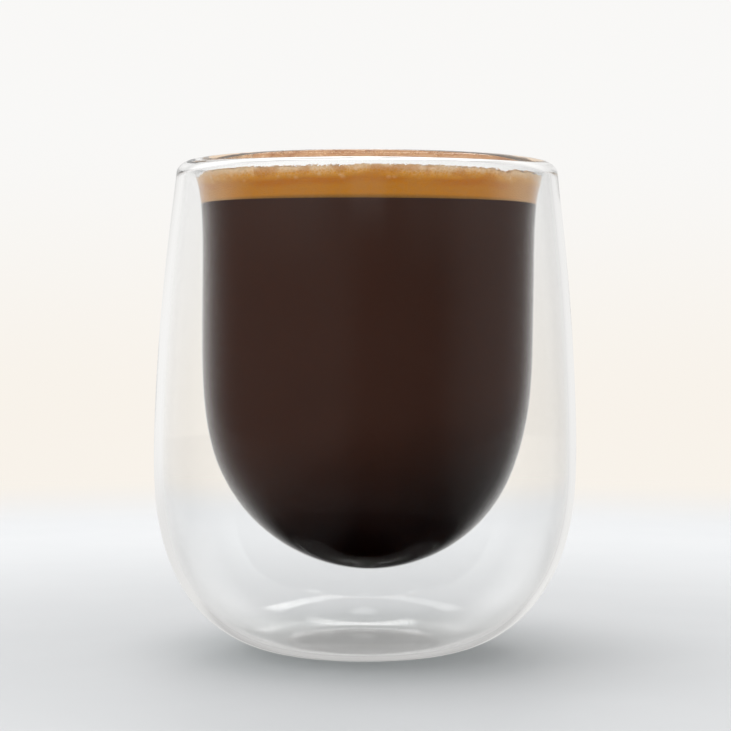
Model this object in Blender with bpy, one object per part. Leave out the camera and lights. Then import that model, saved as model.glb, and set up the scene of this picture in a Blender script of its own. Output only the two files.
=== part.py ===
"""A double espresso in its double-walled glass: the glass, the coffee and the crema on it.

Metres, +Z up. The origin is the middle of the glass's flat foot, on the surface it stands on.
"""
import math

import bmesh
import bpy
from mathutils import Vector, noise

# The whole glass
HEIGHT = 0.070
WALL = 0.0011
SEGMENTS = 48

# Outer shell: a flat foot, a full belly low down and walls that lean in towards the rim
FOOT_RADIUS = 0.0100
BELLY_RADIUS = 0.0305
BELLY_HEIGHT = 0.0289
BELLY_FULLNESS = 2.06
BELLY_SQUARENESS = 2.53
SHOULDER_RADIUS = 0.02743
SHOULDER_HEIGHT = 0.0679
SHOULDER_CURVE = 1.66

# Inner cup, measured on the side that faces the hollow between the walls
CUP_RADIUS = 0.0237
CUP_BOWL_TOP = 0.0475
CUP_BOWL_DEPTH = 0.0358
CUP_FULLNESS = 1.93
CUP_SQUARENESS = 3.04
CUP_MOUTH_RADIUS = 0.0248
CUP_MOUTH_CURVE = 2.0

# The foot's floor inside the hollow, and the pinhole that lets the hollow breathe
FLOOR_THICKNESS = 0.0012
SEAL_RADIUS = 0.0042
SEAL_HEIGHT = 0.0009
PINHOLE_RADIUS = 0.0010

# What the cup holds
CLEARANCE = 0.0003
COFFEE_LEVEL = 0.0639
CREMA_LEVEL = 0.0677
CREMA_SWELL = 0.00035
CREMA_COLLAR = 0.00025
CREMA_RINGS = 9
CREMA_SEED = 11.0

# Points along each stretch of the turned outlines
BOWL_STEPS = 12
WALL_STEPS = 5
RIM_STEPS = 10
CROTCH_STEPS = 4
SEAL_STEPS = 4

GLASS_COLOUR = (0.93, 0.95, 0.95)
COFFEE_COLOUR = (0.020, 0.011, 0.008)
CREMA_COLOUR = (0.42, 0.20, 0.055)


def clear_scene():
    """Start from an empty scene."""
    for thing in list(bpy.data.objects):
        bpy.data.objects.remove(thing, do_unlink=True)


def material(name, colour, roughness, transmission=0.0, ior=1.45):
    """One finish, as a Principled BSDF."""
    made = bpy.data.materials.new(name)
    made.use_nodes = True
    shader = made.node_tree.nodes["Principled BSDF"]
    shader.inputs["Base Color"].default_value = (*colour, 1.0)
    shader.inputs["Roughness"].default_value = roughness
    shader.inputs["Metallic"].default_value = 0.0
    shader.inputs["Transmission Weight"].default_value = transmission
    shader.inputs["IOR"].default_value = ior
    return made


def bowl_and_wall(foot, belly, depth, top, fullness, squareness, mouth, mouth_height, curve):
    """An outline from the bottom of a bowl, round its belly and up a wall to its mouth."""
    points = []
    for step in range(BOWL_STEPS + 1):
        turn = math.pi / 2 * step / BOWL_STEPS
        radius = foot + (belly - foot) * math.sin(turn) ** (2 / fullness)
        height = top - depth * max(math.cos(turn), 0.0) ** (2 / squareness)
        points.append(Vector((radius, 0.0, height)))
    for step in range(1, WALL_STEPS + 1):
        share = step / WALL_STEPS
        radius = belly + (mouth - belly) * share ** curve
        points.append(Vector((radius, 0.0, top + (mouth_height - top) * share)))
    return points


def shell_outline():
    """The outer shell's outside, from the edge of its flat foot to the shoulder."""
    return bowl_and_wall(FOOT_RADIUS, BELLY_RADIUS, BELLY_HEIGHT, BELLY_HEIGHT, BELLY_FULLNESS,
                         BELLY_SQUARENESS, SHOULDER_RADIUS, SHOULDER_HEIGHT, SHOULDER_CURVE)


def cup_outline():
    """The inner cup's outside, from the axis under it to its mouth."""
    return bowl_and_wall(0.0, CUP_RADIUS, CUP_BOWL_DEPTH, CUP_BOWL_TOP, CUP_FULLNESS,
                         CUP_SQUARENESS, CUP_MOUTH_RADIUS, SHOULDER_HEIGHT, CUP_MOUTH_CURVE)


def inset(points, distance):
    """The outline moved towards its hollow side by a distance."""
    moved = []
    for index, point in enumerate(points):
        before = points[max(index - 1, 0)]
        after = points[min(index + 1, len(points) - 1)]
        along = (after - before).normalized()
        moved.append(point + distance * Vector((-along.z, 0.0, along.x)))
    return moved


def cup_inside(clearance=0.0):
    """The inner cup's inside, from the axis to its mouth, less a clearance."""
    points = inset(cup_outline(), WALL + clearance)
    points[0].x = 0.0
    return points


def arc(start, end, steps, side):
    """A half round between two points, its ends left out, bulging up (1) or down (-1)."""
    centre = (start + end) / 2
    reach = (start - end) / 2
    rise = Vector((0.0, 0.0, side * reach.length))
    points = []
    for step in range(1, steps):
        turn = math.pi * step / steps
        points.append(centre + reach * math.cos(turn) + rise * math.sin(turn))
    return points


def cut_at(points, height):
    """The outline up to a height, with its last point on it."""
    kept = [point for point in points if point.z < height]
    below = points[len(kept) - 1]
    above = points[len(kept)]
    kept.append(below.lerp(above, (height - below.z) / (above.z - below.z)))
    return kept


def part_above(points, height):
    """The outline above a height, with its first point on it."""
    kept = [point for point in points if point.z > height]
    first = cut_at(points, height)[-1]
    return [first] + kept


def seal_outline():
    """The low bead of glass round the pinhole, from its foot on the floor to the hole."""
    points = []
    for step in range(SEAL_STEPS + 1):
        share = step / SEAL_STEPS
        radius = SEAL_RADIUS + (PINHOLE_RADIUS - SEAL_RADIUS) * share
        swell = SEAL_HEIGHT * (1 - math.cos(math.pi * share)) / 2
        points.append(Vector((radius, 0.0, FLOOR_THICKNESS + swell)))
    return points


def glass_outline():
    """The whole section of the double wall, from the cup's inside round to its underside."""
    cup = cup_outline()
    shell = shell_outline()
    lining = cup_inside()
    hollow = inset(shell, WALL)
    rim_height = HEIGHT - (shell[-1].x - lining[-1].x) / 2
    lining[-1].z = rim_height
    shell[-1].z = rim_height
    outline = list(lining)
    outline += arc(lining[-1], shell[-1], RIM_STEPS, 1)
    outline += reversed(shell)
    outline += [Vector((PINHOLE_RADIUS, 0.0, 0.0))]
    outline += reversed(seal_outline())
    outline += hollow
    outline += arc(hollow[-1], cup[-1], CROTCH_STEPS, 1)
    outline += reversed(cup)
    return outline


def turned(name, outline, finish):
    """An object made by turning an outline once round the axis."""
    shape = bmesh.new()
    corners = [shape.verts.new(point) for point in outline]
    edges = [shape.edges.new(pair) for pair in zip(corners, corners[1:])]
    bmesh.ops.spin(shape, geom=corners + edges, cent=(0, 0, 0), axis=(0, 0, 1), dvec=(0, 0, 0),
                   angle=math.tau, steps=SEGMENTS, use_merge=True)
    bmesh.ops.remove_doubles(shape, verts=shape.verts, dist=1e-6)
    bmesh.ops.recalc_face_normals(shape, faces=shape.faces)
    mesh = bpy.data.meshes.new(name)
    shape.to_mesh(mesh)
    shape.free()
    mesh.materials.append(finish)
    mesh.shade_smooth()
    mesh.set_sharp_from_angle(angle=math.radians(40))
    made = bpy.data.objects.new(name, mesh)
    bpy.context.scene.collection.objects.link(made)
    return made


def make_glass():
    """The double-walled glass, blown in one piece."""
    finish = material("clear_glass", GLASS_COLOUR, 0.02, transmission=1.0, ior=1.47)
    return turned("glass", glass_outline(), finish)


def make_espresso():
    """The coffee, up to the underside of the crema."""
    level = COFFEE_LEVEL - CLEARANCE / 2
    outline = cut_at(cup_inside(CLEARANCE), level)
    outline.append(Vector((0.0, 0.0, level)))
    finish = material("coffee", COFFEE_COLOUR, 0.08)
    return turned("espresso", outline, finish)


def crema_height(x, y, edge):
    """How far the foam stands above its level: soft swells, and a collar at the wall."""
    place = Vector((x * 95, y * 95, CREMA_SEED))
    swell = CREMA_SWELL * (noise.noise(place) + 0.5 * noise.noise(place * 2.3))
    return swell + CREMA_COLLAR * edge ** 8


def make_crema():
    """The foam layer, with its uneven top."""
    bottom = COFFEE_LEVEL + CLEARANCE / 2
    wall = part_above(cut_at(cup_inside(CLEARANCE), CREMA_LEVEL), bottom)
    edge_radius = wall[-1].x
    outline = [Vector((0.0, 0.0, bottom))] + wall
    for ring in range(1, CREMA_RINGS + 1):
        radius = edge_radius * (1 - ring / CREMA_RINGS)
        outline.append(Vector((radius, 0.0, CREMA_LEVEL)))
    finish = material("crema", CREMA_COLOUR, 0.55)
    crema = turned("crema", outline, finish)
    for corner in crema.data.vertices:
        if corner.co.z > CREMA_LEVEL - 1e-6:
            edge = math.hypot(corner.co.x, corner.co.y) / edge_radius
            corner.co.z += crema_height(corner.co.x, corner.co.y, min(edge, 1.0))
    return crema


def main():
    clear_scene()
    make_glass()
    make_espresso()
    make_crema()


main()
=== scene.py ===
"""The looks of a double espresso in its double-walled glass, laid out as an add-on.

Run as a script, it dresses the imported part: the clear glass, the coffee in it, the crema with its
bubbles, and a pale studio round them. Metres, +Z up, with the glass's foot on the floor at the origin.
"""

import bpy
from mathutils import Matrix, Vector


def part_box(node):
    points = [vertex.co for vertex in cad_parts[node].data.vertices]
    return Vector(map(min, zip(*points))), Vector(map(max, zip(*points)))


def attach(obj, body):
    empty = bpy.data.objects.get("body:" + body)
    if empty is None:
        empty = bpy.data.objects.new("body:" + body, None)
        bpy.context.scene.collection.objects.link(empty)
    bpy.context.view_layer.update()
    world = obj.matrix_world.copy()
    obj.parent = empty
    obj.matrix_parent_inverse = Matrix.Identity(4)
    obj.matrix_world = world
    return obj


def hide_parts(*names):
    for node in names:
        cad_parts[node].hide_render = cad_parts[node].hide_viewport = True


bl_info = {
    "name": "Double Espresso",
    "version": (1, 0, 0),
    "blender": (4, 5, 0),
    "location": "3D View > Sidebar > Espresso",
    "description": "Builds a double espresso with its crema in a double-walled glass",
    "category": "Add Mesh",
}

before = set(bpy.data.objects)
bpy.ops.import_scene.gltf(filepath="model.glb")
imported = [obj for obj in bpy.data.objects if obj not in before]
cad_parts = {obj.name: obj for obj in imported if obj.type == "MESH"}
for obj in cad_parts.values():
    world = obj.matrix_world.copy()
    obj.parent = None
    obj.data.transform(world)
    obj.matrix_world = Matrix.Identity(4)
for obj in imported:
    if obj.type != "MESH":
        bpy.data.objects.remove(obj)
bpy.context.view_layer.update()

import math
import random

import bmesh
import bpy
from bpy.props import FloatProperty, FloatVectorProperty, IntProperty, PointerProperty
from bpy.types import Operator, Panel, PropertyGroup
from mathutils import Matrix, Vector, noise

GLASS_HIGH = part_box("glass")[1]
ESPRESSO_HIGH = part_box("espresso")[1]
CREMA_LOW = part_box("crema")[0]

# The forms of the two bowls: a fullness of 2 is round, and a higher squareness has a fuller bottom
SHELL_FULLNESS = 2.06
SHELL_SQUARENESS = 2.53
SHELL_LEAN_CURVE = 1.66
CUP_FULLNESS = 1.90
CUP_SQUARENESS = 3.10
CUP_LEAN_CURVE = 6.0

# How high above the foot the shell still thins towards it, and how far the hollow's top bulges up
FOOT_REACH = 0.020
CROTCH_BULGE = 1.35

# The gap over the floor up to which little light gets in under the foot
CONTACT_GAP = 0.00003

# How far the blown belly may stand out of true and still keep within the part's own size
BLOWN_PLAY = 0.00008

# Points along each stretch of the turned outlines, and turns round the axis
BOWL_STEPS = 40
WALL_STEPS = 20
RIM_STEPS = 24
CROTCH_STEPS = 16
GLASS_SEGMENTS = 160
LIQUID_SEGMENTS = 128
FOAM_SEGMENTS = 512
FOAM_RINGS = 60
FOAM_WALL_STEPS = 12

# Corners nearer to each other than this are one, and corners this near to a level lie on it
TOLERANCE = 1e-6

# The cup's middle leans aside above LEAN_START, and its bowl hangs aside below HANG_START
LEAN_START = 0.032
LEAN_REACH = 0.030
HANG_START = 0.027
HANG_REACH = 0.0090

# Swells of the blown walls for each metre, and swells and bumps of the foam
WALL_SWELLS_ACROSS = 75
WALL_SWELLS_UP = 48
FOAM_SWELLS = 95
FOAM_BUMPS = 420

# Heights of the foam's bumps and grain, and how close to the glass its collar and ragged edge keep
BUMP_HEIGHT = 0.00007
GRAIN_HEIGHT = 0.00004
COLLAR_CURVE = 8
RAGGED_CURVE = 14

CREMA_SEED = 11.0
BUBBLE_SEED = 7
BUBBLES_AT_ONCE = 100

# Smallest and largest radius of large and small bubbles, and the share that is large
LARGE_BUBBLE = (0.00013, 0.00022)
SMALL_BUBBLE = (0.00005, 0.00012)
LARGE_ON_FOAM = 0.10
LARGE_IN_LACE = 0.03

# Bubbles on the foam: how far most stray from the glass on average, how far the others at least do,
# and how high they sit, in their own radii
BUBBLE_STRAY = 0.0005
BUBBLE_AWAY = 0.001
BUBBLE_SEAT = 0.15

# The lace: how far it climbs, where it thins from front to back and by how much, and how far the
# bubbles' middles keep from the glass, in their own radii
LACE_CLIMB = 0.00012
LACE_FRONT = -0.014
LACE_BACK = -0.004
LACE_THINNING = 0.92
LACE_SEAT = 1.05

# Light that glass lets through, the foam's brown seam on the coffee and its darker mottling
PASSING_TINT = (0.93, 0.94, 0.94)
SEAM_BROWN = (0.16, 0.085, 0.018)
MOTTLE_BROWN = (0.24, 0.085, 0.020)

# Heights above the bowl's bottom between which the coffee's painted shade gives way to its painted light
LIT_FROM = 0.005
LIT_TO = 0.024

# The floor: its corners, its depth under the foot, and where it fades out, in shares of its radius
FLOOR_SEGMENTS = 128
FLOOR_DROP = 0.00005
FADE_START = 0.33
FADE_END = 0.57

# The lamp overhead, the brightest that the wall behind is mirrored, and the glow round the lower tube
LAMP_WIDTH = 0.30
LAMP_PLACE = Vector((-0.05, 0.02, 0.55))
BRIGHTEST_WALL = 0.89
GLOW_STRENGTH = 0.25

SENSOR_WIDTH = 36.0
NEAREST_SEEN = 0.01
LIGHT_BOUNCES = 24


class GlassSettings(PropertyGroup):
    """Sizes and finish of the double-walled glass."""

    height: FloatProperty(
        name="Height", description="From the foot to the top of the rim",
        default=GLASS_HIGH.z, unit="LENGTH", precision=5)
    wall: FloatProperty(
        name="Wall", description="Thickness of the inner cup and of the outer shell",
        default=0.0011, unit="LENGTH", precision=5)
    foot_wall: FloatProperty(
        name="Foot wall", description="Thickness of the outer shell at its foot",
        default=0.0009, unit="LENGTH", precision=5)
    foot_radius: FloatProperty(
        name="Foot radius", description="Radius of the flat foot",
        default=0.0103, unit="LENGTH", precision=5)
    belly_radius: FloatProperty(
        name="Belly radius", description="Largest radius of the outer shell, less its play as blown",
        default=GLASS_HIGH.x - BLOWN_PLAY, unit="LENGTH", precision=5)
    belly_height: FloatProperty(
        name="Belly height", description="Height at which the outer shell is widest",
        default=0.0289, unit="LENGTH", precision=5)
    shoulder_radius: FloatProperty(
        name="Shoulder radius", description="Outer radius just under the rim",
        default=0.02743, unit="LENGTH", precision=5)
    shoulder_height: FloatProperty(
        name="Shoulder height", description="Height at which the two walls join",
        default=0.0679, unit="LENGTH", precision=5)
    cup_radius: FloatProperty(
        name="Cup radius", description="Outer radius of the inner cup where its bowl ends",
        default=0.02384, unit="LENGTH", precision=5)
    cup_bowl_top: FloatProperty(
        name="Cup bowl top", description="Height at which the inner cup's bowl ends",
        default=0.0475, unit="LENGTH", precision=5)
    cup_bowl_depth: FloatProperty(
        name="Cup bowl depth", description="Depth of the inner cup's bowl",
        default=0.0358, unit="LENGTH", precision=5)
    cup_mouth_radius: FloatProperty(
        name="Cup mouth radius", description="Outer radius of the inner cup at its mouth",
        default=0.02495, unit="LENGTH", precision=5)
    cup_offset: FloatProperty(
        name="Cup offset", description="How far blowing left the cup's mouth to one side of the shell",
        default=0.00030, unit="LENGTH", precision=5)
    shell_lean: FloatProperty(
        name="Shell lean", description="How far the shell's middle moves aside from foot to rim",
        default=0.00034, unit="LENGTH", precision=5)
    waviness: FloatProperty(
        name="Waviness", description="How far the blown walls swell from a true turned shape",
        default=0.00004, unit="LENGTH", precision=6)
    contact: FloatVectorProperty(
        name="Contact", description="Light that gets under the foot, where it stands on the floor",
        subtype="COLOR", size=3, min=0.0, max=1.0, default=(0.29, 0.29, 0.29))
    tint: FloatVectorProperty(
        name="Tint", description="Colour of the clear glass", subtype="COLOR",
        size=3, min=0.0, max=1.0, default=(0.998, 1.0, 1.0))


class CoffeeSettings(PropertyGroup):
    """Level and colours of the coffee."""

    level: FloatProperty(
        name="Level", description="Height of the underside of the crema",
        default=(ESPRESSO_HIGH.z + CREMA_LOW.z) / 2, unit="LENGTH", precision=5)
    tide: FloatProperty(
        name="Tide", description="Height of the crema line's slow rise and fall round the wall",
        default=0.00017, unit="LENGTH", precision=5)
    reach: FloatProperty(
        name="Reach into wall", description="How far the coffee goes into the glass, so that no gap shows",
        default=0.00015, unit="LENGTH", precision=6)
    # Brown and dark brown are one coffee with painted light and painted shade: brown where light reaches
    # it, dark brown deep in the bowl
    brown: FloatVectorProperty(
        name="Brown", description="Colour of the coffee where light reaches it", subtype="COLOR",
        size=3, min=0.0, max=1.0, default=(0.050, 0.0193, 0.0122))
    dark: FloatVectorProperty(
        name="Dark brown", description="Colour of the coffee deep in the bowl", subtype="COLOR",
        size=3, min=0.0, max=1.0, default=(0.0045, 0.0009, 0.0004))


class CremaSettings(PropertyGroup):
    """Level, relief and colours of the crema."""

    level: FloatProperty(
        name="Level", description="Mean height of the foam's top",
        default=0.0677, unit="LENGTH", precision=5)
    swell: FloatProperty(
        name="Swell", description="Height of the soft swells in the foam",
        default=0.00035, unit="LENGTH", precision=5)
    collar: FloatProperty(
        name="Collar", description="How far the foam climbs at the wall",
        default=0.00025, unit="LENGTH", precision=5)
    ragged: FloatProperty(
        name="Ragged edge", description="Unevenness of the foam's edge on the glass",
        default=0.00028, unit="LENGTH", precision=5)
    reach: FloatProperty(
        name="Reach into wall", description="How far the foam goes into the glass, so that no gap shows",
        default=0.00012, unit="LENGTH", precision=6)
    caramel: FloatVectorProperty(
        name="Caramel", description="Colour of the foam through the glass", subtype="COLOR",
        size=3, min=0.0, max=1.0, default=(0.590, 0.215, 0.010))
    rust: FloatVectorProperty(
        name="Rust", description="Darkest streaks in the foam", subtype="COLOR",
        size=3, min=0.0, max=1.0, default=(0.560, 0.165, 0.001))
    golden: FloatVectorProperty(
        name="Golden", description="Brighter foam above the middle of the layer", subtype="COLOR",
        size=3, min=0.0, max=1.0, default=(0.77, 0.33, 0.036))
    froth: FloatVectorProperty(
        name="Froth", description="Palest foam along the top edge", subtype="COLOR",
        size=3, min=0.0, max=1.0, default=(0.95, 0.68, 0.44))
    cream: FloatVectorProperty(
        name="Cream", description="Tint of the soft sheen on the foam's side", subtype="COLOR",
        size=3, min=0.0, max=1.0, default=(0.97, 0.80, 0.60))
    hazelnut: FloatVectorProperty(
        name="Hazelnut", description="Colour of the foam's top", subtype="COLOR",
        size=3, min=0.0, max=1.0, default=(0.40, 0.21, 0.095))
    bubbles: IntProperty(
        name="Bubbles", description="How many bubbles lie on the foam",
        default=420, min=0, max=2000)
    lace: IntProperty(
        name="Lace", description="How many fine bubbles cling to the glass along the foam's edge",
        default=2600, min=0, max=6000)


class StudioSettings(PropertyGroup):
    """Camera, floor and light."""

    camera_distance: FloatProperty(
        name="Camera distance", description="From the glass's axis to the lens",
        default=0.290, unit="LENGTH", precision=4)
    camera_height: FloatProperty(
        name="Camera height", description="Height of the lens above the floor",
        default=0.0475, unit="LENGTH", precision=5)
    camera_pitch: FloatProperty(
        name="Camera pitch", description="How far the camera looks down",
        default=0.0226, subtype="ANGLE")
    camera_roll: FloatProperty(
        name="Camera roll", description="How far the camera leans to its left",
        default=math.radians(0.15), subtype="ANGLE")
    lens: FloatProperty(
        name="Lens", description="Focal length in millimetres on a 36 mm sensor",
        default=98.79, subtype="NONE")
    floor_radius: FloatProperty(
        name="Floor radius", description="Radius of the round floor",
        default=0.55, unit="LENGTH")
    # The floor's colour near the glass, where it carries painted shade; it is paler further out
    floor_colour: FloatVectorProperty(
        name="Floor colour", description="Colour of the pale floor", subtype="COLOR",
        size=3, min=0.0, max=1.0, default=(0.515, 0.526, 0.540))
    backdrop: FloatVectorProperty(
        name="Backdrop", description="Colour of the studio behind the glass", subtype="COLOR",
        size=3, min=0.0, max=2.0, default=(0.945, 0.938, 0.925))
    horizon: FloatVectorProperty(
        name="Horizon", description="Colour of the backdrop low down, where the floor meets it",
        subtype="COLOR", size=3, min=0.0, max=2.0, default=(0.94, 0.892, 0.825))
    key_power: FloatProperty(
        name="Overhead light", description="Power of the soft light overhead",
        default=1.6, unit="POWER")


def bowl_and_wall(foot, belly, depth, top, fullness, squareness, mouth, mouth_height, curve):
    """An outline from the bottom of a bowl, round its belly and up a wall to its mouth."""
    points = []
    for step in range(BOWL_STEPS + 1):
        turn = math.pi / 2 * step / BOWL_STEPS
        radius = foot + (belly - foot) * math.sin(turn) ** (2 / fullness)
        height = top - depth * max(math.cos(turn), 0.0) ** (2 / squareness)
        points.append(Vector((radius, 0.0, height)))
    for step in range(1, WALL_STEPS + 1):
        share = step / WALL_STEPS
        radius = belly + (mouth - belly) * share ** curve
        points.append(Vector((radius, 0.0, top + (mouth_height - top) * share)))
    return points


def shell_outline(glass):
    """The outer shell's outside, from the edge of its flat foot to the shoulder."""
    return bowl_and_wall(glass.foot_radius, glass.belly_radius, glass.belly_height,
                         glass.belly_height, SHELL_FULLNESS, SHELL_SQUARENESS,
                         glass.shoulder_radius, glass.shoulder_height, SHELL_LEAN_CURVE)


def cup_outline(glass):
    """The inner cup's outside, from the axis under it to its mouth."""
    return bowl_and_wall(0.0, glass.cup_radius, glass.cup_bowl_depth, glass.cup_bowl_top,
                         CUP_FULLNESS, CUP_SQUARENESS, glass.cup_mouth_radius,
                         glass.shoulder_height, CUP_LEAN_CURVE)


def inset(points, distance, at_foot=None):
    """The outline moved towards its hollow side by a distance, which may be another one at its foot."""
    moved = []
    for index, point in enumerate(points):
        before = points[max(index - 1, 0)]
        after = points[min(index + 1, len(points) - 1)]
        along = (after - before).normalized()
        near = max(1 - point.z / FOOT_REACH, 0.0) ** 2 if at_foot else 0.0
        here = distance + (at_foot - distance) * near if at_foot else distance
        moved.append(point + here * Vector((-along.z, 0.0, along.x)))
    return moved


def cup_inside(glass, reach=0.0):
    """The inner cup's inside, from the axis to its mouth, moved into the wall by a reach."""
    points = inset(cup_outline(glass), glass.wall - reach)
    points[0].x = 0.0
    return points


def arc(start, end, steps, bulge):
    """A half oval between two points, its ends left out; it bulges up, and a bulge of 1 is round."""
    centre = (start + end) / 2
    reach = (start - end) / 2
    rise = Vector((0.0, 0.0, bulge * reach.length))
    points = []
    for step in range(1, steps):
        turn = math.pi * step / steps
        points.append(centre + reach * math.cos(turn) + rise * math.sin(turn))
    return points


def cut_at(points, height):
    """The outline up to a height, with its last point on it."""
    kept = [point for point in points if point.z < height]
    below = points[len(kept) - 1]
    above = points[len(kept)]
    kept.append(below.lerp(above, (height - below.z) / (above.z - below.z)))
    return kept


def skin_outline(glass):
    """The glass's skin, from the bottom of the cup over the rim and down to the middle of the foot."""
    shell = shell_outline(glass)
    lining = cup_inside(glass)
    rim_height = glass.height - (shell[-1].x - lining[-1].x) / 2
    lining[-1].z = rim_height
    shell[-1].z = rim_height
    rim = arc(lining[-1], shell[-1], RIM_STEPS, 1)
    return lining + rim + shell[::-1] + [Vector((0.0, 0.0, 0.0))]


def hollow_outline(glass):
    """The sealed hollow between the walls, from the middle of its floor up and back under the cup."""
    cup = cup_outline(glass)
    hollow = inset(shell_outline(glass), glass.wall, glass.foot_wall)
    crotch = arc(hollow[-1], cup[-1], CROTCH_STEPS, CROTCH_BULGE)
    return [Vector((0.0, 0.0, hollow[0].z))] + hollow + crotch + cup[::-1]


def turned(outline, segments):
    """A closed bmesh made by turning an outline once round the axis."""
    shape = bmesh.new()
    corners = [shape.verts.new(point) for point in outline]
    edges = [shape.edges.new(pair) for pair in zip(corners, corners[1:])]
    bmesh.ops.spin(shape, geom=corners + edges, cent=(0, 0, 0), axis=(0, 0, 1), dvec=(0, 0, 0),
                   angle=math.tau, steps=segments, use_merge=True)
    bmesh.ops.remove_doubles(shape, verts=shape.verts, dist=TOLERANCE)
    bmesh.ops.recalc_face_normals(shape, faces=shape.faces)
    return shape


def join(shape, other):
    """Add another bmesh to a bmesh, and free it."""
    mesh = bpy.data.meshes.new("joined")
    other.to_mesh(mesh)
    other.free()
    shape.from_mesh(mesh)
    bpy.data.meshes.remove(mesh)


def finished(name, shape, materials, sharp=math.radians(50)):
    """A smooth object made from a bmesh, in the scene, that rides with the part."""
    mesh = bpy.data.meshes.new(name)
    shape.to_mesh(mesh)
    shape.free()
    for made in materials:
        mesh.materials.append(made)
    mesh.shade_smooth()
    mesh.set_sharp_from_angle(angle=sharp)
    piece = bpy.data.objects.new(name, mesh)
    bpy.context.scene.collection.objects.link(piece)
    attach(piece, "root")
    return piece


class Nodes:
    """A node tree under construction, with short ways to add and link its nodes."""

    def __init__(self, owner):
        owner.use_nodes = True
        self.tree = owner.node_tree
        self.tree.nodes.clear()

    def add(self, kind, **settings):
        """A new node with its settings."""
        made = self.tree.nodes.new(kind)
        for name, value in settings.items():
            setattr(made, name, value)
        return made

    def put(self, target, value):
        """Give an input a number or colour, or link an output to it."""
        if isinstance(value, bpy.types.NodeSocket):
            self.tree.links.new(value, target)
        else:
            target.default_value = value

    def coordinates(self, stretch=(1.0, 1.0, 1.0)):
        """Object coordinates, stretched along each axis."""
        source = self.add("ShaderNodeTexCoord").outputs["Object"]
        mapping = self.add("ShaderNodeMapping")
        self.put(mapping.inputs["Vector"], source)
        mapping.inputs["Scale"].default_value = stretch
        return mapping.outputs["Vector"]

    def noise(self, place, scale, detail=3.0, roughness=0.5, distortion=0.0):
        """Soft noise, between 0 and 1."""
        made = self.add("ShaderNodeTexNoise")
        self.put(made.inputs["Vector"], place)
        made.inputs["Scale"].default_value = scale
        made.inputs["Detail"].default_value = detail
        made.inputs["Roughness"].default_value = roughness
        made.inputs["Distortion"].default_value = distortion
        return made.outputs["Fac"]

    def cells(self, place, scale, feature="F1"):
        """The distance to the nearest cell of a bubbly pattern, or to its edge."""
        made = self.add("ShaderNodeTexVoronoi", feature=feature)
        self.put(made.inputs["Vector"], place)
        made.inputs["Scale"].default_value = scale
        return made.outputs["Distance"]

    def math(self, operation, first, second=0.0, third=0.0, clamp=False):
        """One sum on numbers."""
        made = self.add("ShaderNodeMath", operation=operation, use_clamp=clamp)
        for target, value in zip(made.inputs, (first, second, third)):
            self.put(target, value)
        return made.outputs[0]

    def product(self, first, *others):
        """Values multiplied together."""
        for other in others:
            first = self.math("MULTIPLY", first, other)
        return first

    def between(self, value, low, high, from_zero=0.0, to_one=1.0):
        """A value's soft way from one bound to another."""
        made = self.add("ShaderNodeMapRange", interpolation_type="SMOOTHSTEP")
        self.put(made.inputs["Value"], value)
        made.inputs["From Min"].default_value = low
        made.inputs["From Max"].default_value = high
        made.inputs["To Min"].default_value = from_zero
        made.inputs["To Max"].default_value = to_one
        return made.outputs["Result"]

    def window(self, value, low, full_from, full_to, high):
        """1 over a stretch of values, and softly 0 before its low bound and beyond its high one."""
        return self.product(self.between(value, low, full_from), self.between(value, high, full_to))

    def mix(self, share, first, second):
        """A mix of two colours."""
        made = self.add("ShaderNodeMix", data_type="RGBA")
        self.put(made.inputs["Factor"], share)
        for target, value in zip((made.inputs[6], made.inputs[7]), (first, second)):
            self.put(target, value if isinstance(value, bpy.types.NodeSocket) else opaque(value))
        return made.outputs[2]

    def mix_shaders(self, share, first, second):
        """A mix of two shaders."""
        made = self.add("ShaderNodeMixShader")
        for target, value in zip(made.inputs, (share, first, second)):
            self.put(target, value)
        return made.outputs[0]

    def split(self, place):
        """The X, Y and Z of a place."""
        made = self.add("ShaderNodeSeparateXYZ")
        self.put(made.inputs["Vector"], place)
        return made.outputs

    def bump(self, height, distance, strength):
        """A bumped normal."""
        made = self.add("ShaderNodeBump")
        self.put(made.inputs["Height"], height)
        made.inputs["Distance"].default_value = distance
        made.inputs["Strength"].default_value = strength
        return made.outputs["Normal"]

    def principled(self, **inputs):
        """A Principled shader, with underscores for the spaces in its inputs' names."""
        made = self.add("ShaderNodeBsdfPrincipled")
        for name, value in inputs.items():
            self.put(made.inputs[name.replace("_", " ")], value)
        return made.outputs["BSDF"]

    def surface(self, shader, output="ShaderNodeOutputMaterial"):
        """The shader that shows."""
        self.put(self.add(output).inputs["Surface"], shader)


def opaque(colour):
    """A colour with full alpha."""
    return (*colour[:3], 1.0)


def clear_glass(name, glass, passing_colour):
    """Blown glass: clear and glossy, with faint haze where it was wiped; it lets lamplight through."""
    made = bpy.data.materials.new(name)
    nodes = Nodes(made)
    place = nodes.coordinates((60.0, 60.0, 34.0))
    haze = nodes.noise(place, 1.0, detail=4.0, roughness=0.6)
    roughness = nodes.between(haze, 0.45, 0.80, 0.0, 0.035)
    wave = nodes.noise(place, 1.6, detail=1.0)
    shader = nodes.principled(
        Base_Color=opaque(glass.tint), Roughness=roughness, Transmission_Weight=1.0, IOR=1.47,
        Normal=nodes.bump(wave, 0.00008, 0.35))
    path = nodes.add("ShaderNodeLightPath")
    passing = nodes.math("MAXIMUM", path.outputs["Is Shadow Ray"], path.outputs["Is Diffuse Ray"])
    through = nodes.add("ShaderNodeBsdfTransparent")
    through.inputs["Color"].default_value = opaque(passing_colour)
    nodes.surface(nodes.mix_shaders(passing, shader, through.outputs[0]))
    return made


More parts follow.
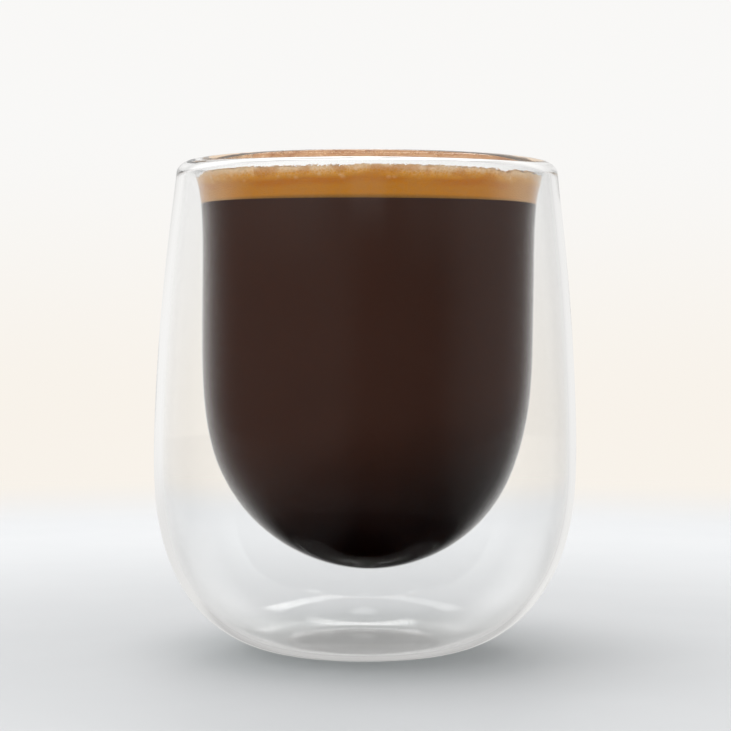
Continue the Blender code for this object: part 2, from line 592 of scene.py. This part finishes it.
def coffee_finish(coffee, glass):
    """Dense coffee behind glass: nearly black, with painted shade deep in the bowl and to its right, and
    brown and unevenly clouded higher up.
    """
    made = bpy.data.materials.new("coffee")
    nodes = Nodes(made)
    place = nodes.coordinates((90.0, 90.0, 30.0))
    across = nodes.split(nodes.coordinates())
    cloud = nodes.noise(place, 1.0, detail=3.0, distortion=0.6)
    # Painted shade: the colour goes from brown to nearly black towards the bowl's bottom, along a slightly
    # tilted line, and is a little darker to the right
    lowest = glass.cup_bowl_top - glass.cup_bowl_depth
    tilted = nodes.math("MULTIPLY_ADD", across[0], -0.25, across[2])
    painted_light = nodes.between(tilted, lowest + LIT_FROM, lowest + LIT_TO)
    share = nodes.math("MULTIPLY_ADD", nodes.math("SUBTRACT", cloud, 0.5), 0.35, painted_light, clamp=True)
    share = nodes.product(share, nodes.between(across[0], -0.006, 0.012, 1.0, 0.86))
    colour = nodes.mix(share, coffee.dark, coffee.brown)
    roughness = nodes.between(cloud, 0.2, 0.8, 0.12, 0.25)
    nodes.surface(nodes.principled(
        Base_Color=colour, Roughness=roughness, IOR=1.34, Specular_IOR_Level=0.08,
        Normal=nodes.bump(cloud, 0.0001, 0.2)))
    return made


def crema_side_finish(crema, coffee):
    """Foam pressed on the glass: caramel, with a rusty streak, paler and bubbly at the top edge, and with
    a painted sheen towards both sides.
    """
    made = bpy.data.materials.new("crema_side")
    nodes = Nodes(made)
    height = nodes.split(nodes.coordinates())[2]
    streaks = nodes.noise(nodes.coordinates((110.0, 110.0, 420.0)), 1.0, detail=4.0, distortion=0.4)
    patches = nodes.noise(nodes.coordinates((70.0, 70.0, 150.0)), 1.0, detail=2.0)
    grain = nodes.noise(nodes.coordinates((1600.0, 1600.0, 1600.0)), 1.0, detail=2.0)
    depth = crema.level + crema.collar - coffee.level
    share = nodes.math("DIVIDE", nodes.math("SUBTRACT", height, coffee.level), depth)
    uneven = nodes.math("MULTIPLY_ADD", nodes.math("SUBTRACT", patches, 0.5), 0.42, share)

    # Rusty streaks half way up, golden foam above them, and a brown seam on the coffee
    rusty = nodes.product(nodes.window(uneven, 0.36, 0.54, 0.60, 0.74),
                          nodes.between(streaks, 0.36, 0.62))
    body = nodes.mix(rusty, crema.caramel, crema.rust)
    body = nodes.mix(nodes.between(uneven, 0.60, 0.84), body, crema.golden)
    body = nodes.mix(nodes.between(share, 0.13, -0.02, 0.0, 0.75), body, SEAM_BROWN)

    # Froth along the top edge, with pale films between its bubbles
    bubbly = nodes.cells(nodes.coordinates((2300.0, 2300.0, 2600.0)), 1.0, "DISTANCE_TO_EDGE")
    film = nodes.between(bubbly, 0.22, 0.02)
    frothy = nodes.between(uneven, 0.80, 1.06)
    pale = nodes.math("MULTIPLY_ADD", film, 0.28, nodes.math("MULTIPLY", frothy, 0.92))
    pale = nodes.math("MULTIPLY", pale, nodes.between(uneven, 0.68, 0.90), clamp=True)
    colour = nodes.mix(pale, body, crema.froth)

    # Pale beads and darker clumps in the upper half, and a fine grain all over
    clumps = nodes.noise(nodes.coordinates((330.0, 330.0, 520.0)), 1.0, detail=2.0)
    beads = nodes.between(nodes.cells(nodes.coordinates((900.0, 900.0, 1000.0)), 1.0), 0.50, 0.10)
    beads = nodes.product(beads, nodes.between(clumps, 0.42, 0.60),
                          nodes.between(share, 0.52, 0.84, 0.0, 0.62))
    colour = nodes.mix(beads, colour, crema.froth)
    dark = nodes.product(nodes.between(clumps, 0.48, 0.34), nodes.between(share, 0.55, 0.75), 0.45)
    colour = nodes.mix(dark, colour, crema.rust)
    colour = nodes.mix(nodes.between(grain, 0.3, 0.7, 0.0, 0.16), colour, crema.hazelnut)

    # Painted sheen: paler towards both sides, where the glass shows the foam at a slant
    aside = nodes.math("ABSOLUTE", nodes.split(nodes.coordinates())[0])
    painted_sheen = nodes.product(nodes.between(aside, 0.0145, 0.0225),
                         nodes.between(patches, 0.2, 0.8, 0.24, 0.50))
    colour = nodes.mix(painted_sheen, colour, crema.froth)
    nodes.surface(nodes.principled(
        Base_Color=colour, Roughness=0.6, Specular_IOR_Level=0.08,
        Sheen_Weight=0.5, Sheen_Roughness=0.45, Sheen_Tint=opaque(crema.cream),
        Normal=nodes.bump(nodes.math("ADD", film, grain), 0.00006, 0.4)))
    return made


def crema_top_finish(crema):
    """The foam's top: hazelnut with darker mottling, pinprick bubbles and a soft sheen."""
    made = bpy.data.materials.new("crema_top")
    nodes = Nodes(made)
    swirl = nodes.noise(nodes.coordinates((120.0, 120.0, 120.0)), 1.0, detail=5.0, roughness=0.62,
                        distortion=1.6)
    fleck = nodes.noise(nodes.coordinates((900.0, 900.0, 900.0)), 1.0, detail=3.0)
    bubbly = nodes.cells(nodes.coordinates((1900.0, 1900.0, 1900.0)), 1.0)
    mottled = nodes.math("MULTIPLY_ADD", nodes.math("SUBTRACT", fleck, 0.5), 0.35, swirl)
    body = nodes.mix(nodes.between(mottled, 0.40, 0.68), crema.hazelnut, MOTTLE_BROWN)
    pricks = nodes.between(bubbly, 0.34, 0.10)
    colour = nodes.mix(nodes.math("MULTIPLY", pricks, 0.45), body, crema.froth)
    relief = nodes.math("MULTIPLY_ADD", fleck, 0.5, pricks)
    nodes.surface(nodes.principled(
        Base_Color=colour, Roughness=nodes.between(fleck, 0.3, 0.7, 0.34, 0.55),
        Specular_IOR_Level=0.2, Normal=nodes.bump(relief, 0.00007, 0.7)))
    return made


def bubble_finish(crema):
    """Thin wet bubbles with a soft gloss, and painted light by the way they face: a pale painted sheen at
    their sides, and the foam below painted on their tops as if seen through them.
    """
    made = bpy.data.materials.new("crema_bubbles")
    nodes = Nodes(made)
    shade = nodes.noise(nodes.coordinates((700.0, 700.0, 700.0)), 1.0, detail=2.0)
    # Painted sheen and see-through: a bubble's sides stay pale and its top turns hazelnut, mixed with a
    # random tone
    upward = nodes.split(nodes.add("ShaderNodeNewGeometry").outputs["Normal"])[2]
    tone_and_painted_see_through = nodes.math("ADD", nodes.between(shade, 0.35, 0.65, 0.0, 0.3),
                         nodes.between(upward, 0.0, 0.5, 0.0, 0.7), clamp=True)
    colour = nodes.mix(tone_and_painted_see_through, crema.froth, crema.hazelnut)
    nodes.surface(nodes.principled(
        Base_Color=colour, Roughness=nodes.between(shade, 0.3, 0.7, 0.30, 0.50),
        Specular_IOR_Level=0.12, IOR=1.33, Normal=nodes.bump(shade, 0.00002, 0.3)))
    return made


def smooth(value, low, high):
    """A value's soft way from 0 at one bound to 1 at another."""
    share = min(max((value - low) / (high - low), 0.0), 1.0)
    return share * share * (3 - 2 * share)


def cup_sway(height, glass):
    """How far the cup's middle stands aside at a height: it leans, and its bowl's bottom hangs aside."""
    leaning = (max(height - LEAN_START, 0.0) / LEAN_REACH) ** 0.6
    hanging = max(HANG_START - height, 0.0) / HANG_REACH
    return glass.cup_offset * (0.45 + 0.85 * leaning + hanging)


def shell_sway(height, glass):
    """How far the shell's middle stands aside at a height."""
    return glass.shell_lean * (height / glass.height - 0.5)


def radius_at(points, height):
    """An outline's radius at a height, and none below it."""
    if height <= points[0].z:
        return 0.0
    for below, above in zip(points, points[1:]):
        if height < above.z:
            return below.lerp(above, (height - below.z) / (above.z - below.z)).x
    return points[-1].x


def settle(shape, glass):
    """Move cup and shell a little aside, as they settled when the glass was blown."""
    cup = cup_outline(glass)
    shell = inset(shell_outline(glass), glass.wall, glass.foot_wall)
    for corner in shape.verts:
        radius = math.hypot(corner.co.x, corner.co.y)
        within = radius_at(cup, corner.co.z)
        beyond = radius_at(shell, corner.co.z)
        share = smooth(radius, beyond, within) if beyond > within else 0.0
        sway = cup_sway(corner.co.z, glass) - shell_sway(corner.co.z, glass)
        corner.co.x += shell_sway(corner.co.z, glass) + sway * share


def settle_contents(shape, glass):
    """Move what the cup holds with the cup."""
    for corner in shape.verts:
        corner.co.x += cup_sway(corner.co.z, glass)


def wavy(shape, glass):
    """Swell the glass a little from its true turned shape, as blowing does, clear of its foot."""
    for corner in shape.verts:
        radius = math.hypot(corner.co.x, corner.co.y)
        place = Vector((corner.co.x * WALL_SWELLS_ACROSS, corner.co.y * WALL_SWELLS_ACROSS,
                        corner.co.z * WALL_SWELLS_UP))
        clear = min(max(corner.co.z / glass.wall - 2, 0.0), 1.0)
        push = glass.waviness * noise.noise(place) * clear
        if radius > glass.wall:
            corner.co.x *= 1 + push / radius
            corner.co.y *= 1 + push / radius


def crema_height(x, y, edge, crema):
    """How far the foam stands above its level: soft swells, and a collar at the wall."""
    place = Vector((x * FOAM_SWELLS, y * FOAM_SWELLS, CREMA_SEED))
    swell = crema.swell * (noise.noise(place) + 0.5 * noise.noise(place * 2.3))
    return swell + crema.collar * edge ** COLLAR_CURVE


def foam_relief(x, y, edge, crema):
    """The foam's finer relief: small bumps all over, and a ragged edge where it meets the glass."""
    place = Vector((x * FOAM_BUMPS, y * FOAM_BUMPS, CREMA_SEED))
    fine = BUMP_HEIGHT * noise.noise(place) + GRAIN_HEIGHT * noise.noise(place * 2.7)
    ragged = noise.noise(place * 0.62) + 0.6 * noise.noise(place * 1.7)
    ragged += 0.35 * noise.noise(place * 4.8)
    return fine + crema.ragged * ragged * edge ** RAGGED_CURVE


def foam_top(x, y, edge, crema):
    """The height of the foam's top at a place, with edge 0 on the axis and 1 at the wall."""
    return crema.level + crema_height(x, y, edge, crema) + foam_relief(x, y, edge, crema)


def foam_edge_radius(glass, crema, reach=0.0):
    """The foam's radius at its level."""
    return cut_at(cup_inside(glass, reach), crema.level)[-1].x


def scattered_bubbles(glass, crema):
    """Places and sizes of the bubbles: some out on the foam, most in the lace along the glass."""
    draw = random.Random(BUBBLE_SEED)
    inside = cup_inside(glass)
    wall = foam_edge_radius(glass, crema)
    bubbles = []
    for index in range(crema.bubbles + crema.lace):
        clinging = index >= crema.bubbles
        large = draw.random() < (LARGE_IN_LACE if clinging else LARGE_ON_FOAM)
        size = draw.uniform(*LARGE_BUBBLE) if large else draw.uniform(*SMALL_BUBBLE)
        angle = draw.uniform(0.0, math.tau)
        away = draw.expovariate(1 / BUBBLE_STRAY) if index % 3 else draw.uniform(BUBBLE_AWAY, wall)
        radius = wall if clinging else max(wall - 2 * size - away, 0.0)
        climb = abs(draw.gauss(0.0, LACE_CLIMB)) if clinging else BUBBLE_SEAT * size
        sparse = draw.random()
        x, y = radius * math.cos(angle), radius * math.sin(angle)
        height = foam_top(x, y, min(radius / wall, 1.0), crema) + climb
        if clinging:
            if sparse < smooth(y, LACE_FRONT, LACE_BACK) * LACE_THINNING:
                continue
            radius = radius_at(inside, height) - LACE_SEAT * size
            x, y = radius * math.cos(angle), radius * math.sin(angle)
        bubbles.append((Vector((x + cup_sway(height, glass), y, height)), size))
    return bubbles


def tide(place, glass, coffee):
    """How far the line between coffee and foam stands above its level at a place on the wall."""
    across = (place.x / glass.cup_radius) ** 2 - (place.y / glass.cup_radius) ** 2
    return coffee.tide * across


class ESPRESSO_OT_glass(Operator):
    """Blow the double-walled glass in one piece: cup, shell, rim, foot and the sealed hollow"""

    bl_idname = "espresso.add_glass"
    bl_label = "Add Glass"

    def execute(self, context):
        glass = context.scene.espresso_glass
        shape = turned(skin_outline(glass), GLASS_SEGMENTS)
        hollow = turned(hollow_outline(glass), GLASS_SEGMENTS)
        bmesh.ops.reverse_faces(hollow, faces=hollow.faces)
        join(shape, hollow)
        for face in shape.faces:
            if all(corner.co.z < CONTACT_GAP for corner in face.verts):
                face.material_index = 1
        wavy(shape, glass)
        settle(shape, glass)
        piece = finished("clear_glass", shape, [
            clear_glass("clear_glass", glass, PASSING_TINT),
            clear_glass("glass_foot", glass, glass.contact)])
        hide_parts("glass")
        return {"FINISHED"}


class ESPRESSO_OT_coffee(Operator):
    """Pour the coffee, a body that reaches just into the cup's wall"""

    bl_idname = "espresso.add_coffee"
    bl_label = "Add Coffee"

    def execute(self, context):
        glass = context.scene.espresso_glass
        coffee = context.scene.espresso_coffee
        outline = cut_at(cup_inside(glass, coffee.reach), coffee.level)
        outline.append(Vector((0.0, 0.0, coffee.level)))
        shape = turned(outline, LIQUID_SEGMENTS)
        for corner in shape.verts:
            if corner.co.z > coffee.level - TOLERANCE:
                corner.co.z += tide(corner.co, glass, coffee)
        settle_contents(shape, glass)
        piece = finished("coffee_body", shape, [coffee_finish(coffee, glass)])
        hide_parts("espresso")
        return {"FINISHED"}


class ESPRESSO_OT_crema(Operator):
    """Lay the crema on the coffee, with its swells and its ragged edge on the glass"""

    bl_idname = "espresso.add_crema"
    bl_label = "Add Crema"

    def execute(self, context):
        glass = context.scene.espresso_glass
        coffee = context.scene.espresso_coffee
        crema = context.scene.espresso_crema
        bottom = coffee.level - coffee.reach / 2
        inside = cup_inside(glass, crema.reach)
        edge_radius = foam_edge_radius(glass, crema, crema.reach)
        outline = [Vector((0.0, 0.0, bottom))]
        for step in range(FOAM_WALL_STEPS + 1):
            height = bottom + (crema.level - bottom) * step / FOAM_WALL_STEPS
            outline.append(cut_at(inside, height)[-1])
        for ring in range(1, FOAM_RINGS + 1):
            outline.append(Vector((edge_radius * (1 - ring / FOAM_RINGS), 0.0, crema.level)))
        shape = turned(outline, FOAM_SEGMENTS)
        for face in shape.faces:
            if all(corner.co.z > crema.level - TOLERANCE for corner in face.verts):
                face.material_index = 1
        rising = (crema.level - bottom) / 2
        for corner in shape.verts:
            edge = min(math.hypot(corner.co.x, corner.co.y) / edge_radius, 1.0)
            lift = foam_top(corner.co.x, corner.co.y, edge, crema) - crema.level
            sunk = max((crema.level - corner.co.z) / rising - 1, 0.0)
            corner.co.z += lift * max(1 + (corner.co.z - crema.level) / rising, 0.0)
            corner.co.z += tide(corner.co, glass, coffee) * sunk
        settle_contents(shape, glass)
        piece = finished("crema_layer", shape,
                         [crema_side_finish(crema, coffee), crema_top_finish(crema)])
        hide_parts("crema")
        return {"FINISHED"}


class ESPRESSO_OT_bubbles(Operator):
    """Scatter bubbles over the crema, most of them along the glass"""

    bl_idname = "espresso.add_bubbles"
    bl_label = "Add Bubbles"

    def execute(self, context):
        glass = context.scene.espresso_glass
        crema = context.scene.espresso_crema
        shape = bmesh.new()
        bubbles = scattered_bubbles(glass, crema)
        for first in range(0, len(bubbles), BUBBLES_AT_ONCE):
            few = bmesh.new()
            for place, size in bubbles[first:first + BUBBLES_AT_ONCE]:
                rounds = 2 if size > LARGE_BUBBLE[0] else 1
                bmesh.ops.create_icosphere(few, subdivisions=rounds, radius=size,
                                           matrix=Matrix.Translation(place))
            join(shape, few)
        piece = finished("crema_bubbles", shape, [bubble_finish(crema)], sharp=math.pi)
        return {"FINISHED"}


def floor_finish(studio):
    """A pale smooth table top, with painted shade near the glass and paler beyond, that fades into the
    backdrop far away.
    """
    made = bpy.data.materials.new("floor")
    nodes = Nodes(made)
    place = nodes.coordinates()
    grain = nodes.noise(place, 40.0, detail=5.0)
    across = nodes.split(place)
    far = nodes.math("SQRT", nodes.math("ADD", nodes.math("MULTIPLY", across[0], across[0]),
                                        nodes.math("MULTIPLY", across[1], across[1])))
    paler = tuple(channel * 1.02 for channel in studio.floor_colour)
    floor_beyond_painted_shade = tuple(channel * 1.27 for channel in studio.floor_colour)
    colour = nodes.mix(grain, studio.floor_colour, paler)
    # Painted shade: the floor is darker near the glass, and grows paler from about 4 to 17 cm away
    shader = nodes.principled(
        Base_Color=nodes.mix(nodes.between(far, 0.04, 0.17), colour, floor_beyond_painted_shade),
        Roughness=nodes.between(grain, 0.3, 0.7, 0.50, 0.60), Specular_IOR_Level=0.25)
    path = nodes.add("ShaderNodeLightPath")
    inside = nodes.math("GREATER_THAN", path.outputs["Transmission Depth"], 0.5)
    beyond = nodes.add("ShaderNodeEmission")
    beyond.inputs["Color"].default_value = opaque(studio.horizon)
    nodes.put(beyond.inputs["Strength"], nodes.math("MULTIPLY_ADD", inside, 0.10, 1.0))
    faded = nodes.between(far, studio.floor_radius * FADE_START, studio.floor_radius * FADE_END)
    seen = nodes.mix_shaders(faded, shader, beyond.outputs[0])
    mirrored = nodes.math("GREATER_THAN", path.outputs["Glossy Depth"], 0.5)
    unseen = nodes.add("ShaderNodeBsdfTransparent").outputs[0]
    nodes.surface(nodes.mix_shaders(mirrored, seen, unseen))
    return made


def oval(nodes, way, wide, deep):
    """How far out a direction lies in an oval high behind the glass: 0 in its middle, 1 on its edge."""
    across = nodes.math("DIVIDE", way[0], wide)
    along = nodes.math("DIVIDE", nodes.math("SUBTRACT", way[1], 0.5), deep)
    squares = nodes.math("MULTIPLY_ADD", across, across, nodes.math("MULTIPLY", along, along))
    return nodes.math("SQRT", squares)


def band(nodes, value, middle, half):
    """1 where a value is near the middle of a band, and softly 0 outside it."""
    away = nodes.math("ABSOLUTE", nodes.math("SUBTRACT", value, middle))
    return nodes.between(away, half, half * 0.4)


def ring_lights(nodes, way, aside):
    """The brightness of two bent tubes high behind the glass, a small lamp between them and a glow."""
    outer = nodes.product(band(nodes, oval(nodes, way, 0.335, 0.44), 1.0, 0.19),
                          nodes.between(way[1], 0.70, 0.56),
                          nodes.between(way[0], -0.40, 0.40, 1.4, 3.2))
    lower = nodes.product(band(nodes, nodes.math("MULTIPLY_ADD", aside, 1.5, way[1]), 0.893, 0.055),
                          nodes.between(way[0], 0.16, 0.0, 0.6, 2.0),
                          nodes.window(way[0], -0.12, -0.055, 0.10, 0.20))
    lamp = nodes.between(oval(nodes, way, 0.14, 0.36), 0.42, 0.20, 0.0, 1.1)
    glow = nodes.product(nodes.between(way[2], 0.62, 0.45), nodes.between(aside, 0.22, 0.10))
    lights = nodes.math("ADD", outer, nodes.math("ADD", lower, lamp))
    lights = nodes.math("MULTIPLY_ADD", glow, GLOW_STRENGTH, lights)
    return nodes.product(lights, nodes.between(way[2], 0.24, 0.33))


def mirrored_room(nodes, way, path):
    """How bright reflections find the room: bright behind and above the glass, and dim before it."""
    aside = nodes.math("ABSOLUTE", way[0])
    lowered = nodes.math("MULTIPLY_ADD", aside, 0.5, way[2])

    # The wall behind, dimmer low down, with a narrow and a wide patch that are shaded a little
    behind = nodes.math("MAXIMUM", way[1], 0.0)
    bright = nodes.product(nodes.math("POWER", behind, 2.5), nodes.between(way[0], -0.6, 0.6, 1.55, 0.9))
    bright = nodes.math("MAXIMUM", bright, nodes.between(behind, 0.45, 0.95, 0.0, 0.93))
    bright = nodes.math("MINIMUM", bright, BRIGHTEST_WALL)
    dimmed = nodes.product(nodes.between(way[2], -0.02, -0.16),
                           nodes.between(way[0], -0.2, 0.2, 0.16, 0.04))
    strip = nodes.product(nodes.window(way[2], 0.04, 0.09, 0.18, 0.24),
                          nodes.window(way[0], -0.060, -0.046, 0.056, 0.070))
    wide = nodes.product(nodes.window(way[2], 0.0, 0.08, 0.25, 0.40),
                         nodes.window(way[0], -0.40, -0.20, 0.04, 0.16))
    shaded = nodes.math("MULTIPLY_ADD", strip, 0.35, nodes.math("MULTIPLY", wide, 0.15))
    bright = nodes.product(bright, nodes.math("SUBTRACT", 1.0, dimmed),
                           nodes.between(lowered, -0.45, -0.12), nodes.math("SUBTRACT", 1.0, shaded))

    # The dim room before the glass
    front = nodes.math("ADD", nodes.between(way[0], -0.35, 0.05, 0.075, 0.03),
                       nodes.between(way[0], 0.60, 1.00, 0.0, 0.12))
    bright = nodes.math("ADD", bright, nodes.product(front, nodes.between(lowered, -0.50, -0.20)))

    # The table, which only rays that have passed few walls see mirrored
    outer = nodes.math("LESS_THAN", path.outputs["Transmission Depth"], 3.5)
    table = nodes.product(nodes.between(way[2], -0.12, -0.45), nodes.between(way[1], -0.1, 0.35),
                          nodes.between(aside, 0.2, 0.7, 0.58, 0.66))
    bright = nodes.math("MAXIMUM", bright, nodes.product(table, outer))

    # The ceiling, the light high up at both sides, and the lamps
    bright = nodes.math("ADD", bright, nodes.between(way[2], 0.18, 0.65, 0.0, 0.50))
    beside = nodes.product(nodes.between(aside, 0.25, 0.55), nodes.between(way[2], 0.15, 0.45, 0.0, 0.22))
    bright = nodes.math("ADD", bright, beside)
    return nodes.math("ADD", bright, ring_lights(nodes, way, aside))


def light_the_studio(studio):
    """A pale room all round, which reflections see as bright behind the glass and dim before it."""
    world = bpy.data.worlds.new("studio")
    bpy.context.scene.world = world
    nodes = Nodes(world)
    way = nodes.split(nodes.add("ShaderNodeTexCoord").outputs["Generated"])
    path = nodes.add("ShaderNodeLightPath")
    backdrop = nodes.mix(nodes.between(way[2], -0.055, 0.10), studio.horizon, studio.backdrop)
    inside = nodes.math("GREATER_THAN", path.outputs["Transmission Depth"], 0.5)
    lift = nodes.math("MULTIPLY_ADD", inside, nodes.between(way[0], -0.09, 0.09, 0.15, 0.06), 1.0)
    seen = nodes.add("ShaderNodeBackground")
    nodes.put(seen.inputs["Color"], backdrop)
    nodes.put(seen.inputs["Strength"], lift)
    mirror = nodes.add("ShaderNodeBackground")
    mirror.inputs["Color"].default_value = opaque(studio.backdrop)
    nodes.put(mirror.inputs["Strength"], mirrored_room(nodes, way, path))
    mirrored = nodes.math("GREATER_THAN", path.outputs["Glossy Depth"], 0.5)
    either = nodes.mix_shaders(mirrored, seen.outputs[0], mirror.outputs[0])
    nodes.surface(either, "ShaderNodeOutputWorld")


def place_camera(studio):
    """The camera in front of the glass, near its middle height, as in the photograph."""
    data = bpy.data.cameras.new("camera")
    data.lens = studio.lens
    data.sensor_width = SENSOR_WIDTH
    data.clip_start = NEAREST_SEEN
    camera = bpy.data.objects.new("camera", data)
    camera.location = (0.0, -studio.camera_distance, studio.camera_height)
    turn = Matrix.Rotation(math.pi / 2 - studio.camera_pitch, 4, "X")
    lean = Matrix.Rotation(studio.camera_roll, 4, "Z")
    camera.rotation_euler = (turn @ lean).to_euler()
    bpy.context.scene.collection.objects.link(camera)
    bpy.context.scene.camera = camera


class ESPRESSO_OT_stage(Operator):
    """Set the pale floor, the soft light and the camera"""

    bl_idname = "espresso.add_stage"
    bl_label = "Add Stage"

    def execute(self, context):
        studio = context.scene.espresso_studio
        shape = bmesh.new()
        bmesh.ops.create_circle(shape, cap_ends=True, segments=FLOOR_SEGMENTS,
                                radius=studio.floor_radius,
                                matrix=Matrix.Translation((0.0, 0.0, -FLOOR_DROP)))
        mesh = bpy.data.meshes.new("floor")
        shape.to_mesh(mesh)
        shape.free()
        mesh.materials.append(floor_finish(studio))
        floor = bpy.data.objects.new("floor", mesh)
        context.scene.collection.objects.link(floor)
        light_the_studio(studio)
        data = bpy.data.lights.new("overhead", "AREA")
        data.shape = "DISK"
        data.size = LAMP_WIDTH
        data.energy = studio.key_power
        light = bpy.data.objects.new("overhead", data)
        light.location = LAMP_PLACE
        light.rotation_euler = (-LAMP_PLACE).to_track_quat("-Z", "Y").to_euler()
        light.visible_glossy = False
        light.visible_transmission = False
        context.scene.collection.objects.link(light)
        place_camera(studio)
        context.scene.view_settings.view_transform = "Standard"
        context.scene.cycles.max_bounces = LIGHT_BOUNCES
        context.scene.cycles.glossy_bounces = LIGHT_BOUNCES
        context.scene.cycles.transmission_bounces = LIGHT_BOUNCES
        context.scene.cycles.transparent_max_bounces = LIGHT_BOUNCES
        return {"FINISHED"}


class ESPRESSO_PT_panel(Panel):
    """The espresso's settings and the buttons that build it"""

    bl_label = "Double Espresso"
    bl_space_type = "VIEW_3D"
    bl_region_type = "UI"
    bl_category = "Espresso"

    def draw(self, context):
        for operator, settings in STEPS:
            box = self.layout.box()
            box.operator(operator.bl_idname)
            group = getattr(context.scene, settings)
            for name in type(group).__annotations__:
                box.prop(group, name)


GROUPS = {
    "espresso_glass": GlassSettings,
    "espresso_coffee": CoffeeSettings,
    "espresso_crema": CremaSettings,
    "espresso_studio": StudioSettings,
}
STEPS = (
    (ESPRESSO_OT_glass, "espresso_glass"),
    (ESPRESSO_OT_coffee, "espresso_coffee"),
    (ESPRESSO_OT_crema, "espresso_crema"),
    (ESPRESSO_OT_bubbles, "espresso_crema"),
    (ESPRESSO_OT_stage, "espresso_studio"),
)


def register():
    """Make the settings, operators and panel known to Blender."""
    for name, group in GROUPS.items():
        bpy.utils.register_class(group)
        setattr(bpy.types.Scene, name, PointerProperty(type=group))
    for operator, _ in STEPS:
        bpy.utils.register_class(operator)
    bpy.utils.register_class(ESPRESSO_PT_panel)


def unregister():
    """Take them away again."""
    bpy.utils.unregister_class(ESPRESSO_PT_panel)
    for operator, _ in reversed(STEPS):
        bpy.utils.unregister_class(operator)
    for name, group in reversed(GROUPS.items()):
        delattr(bpy.types.Scene, name)
        bpy.utils.unregister_class(group)


def main():
    """Build every piece in order."""
    register()
    bpy.ops.espresso.add_glass()
    bpy.ops.espresso.add_coffee()
    bpy.ops.espresso.add_crema()
    bpy.ops.espresso.add_bubbles()
    bpy.ops.espresso.add_stage()


if __name__ == "__main__":
    main()
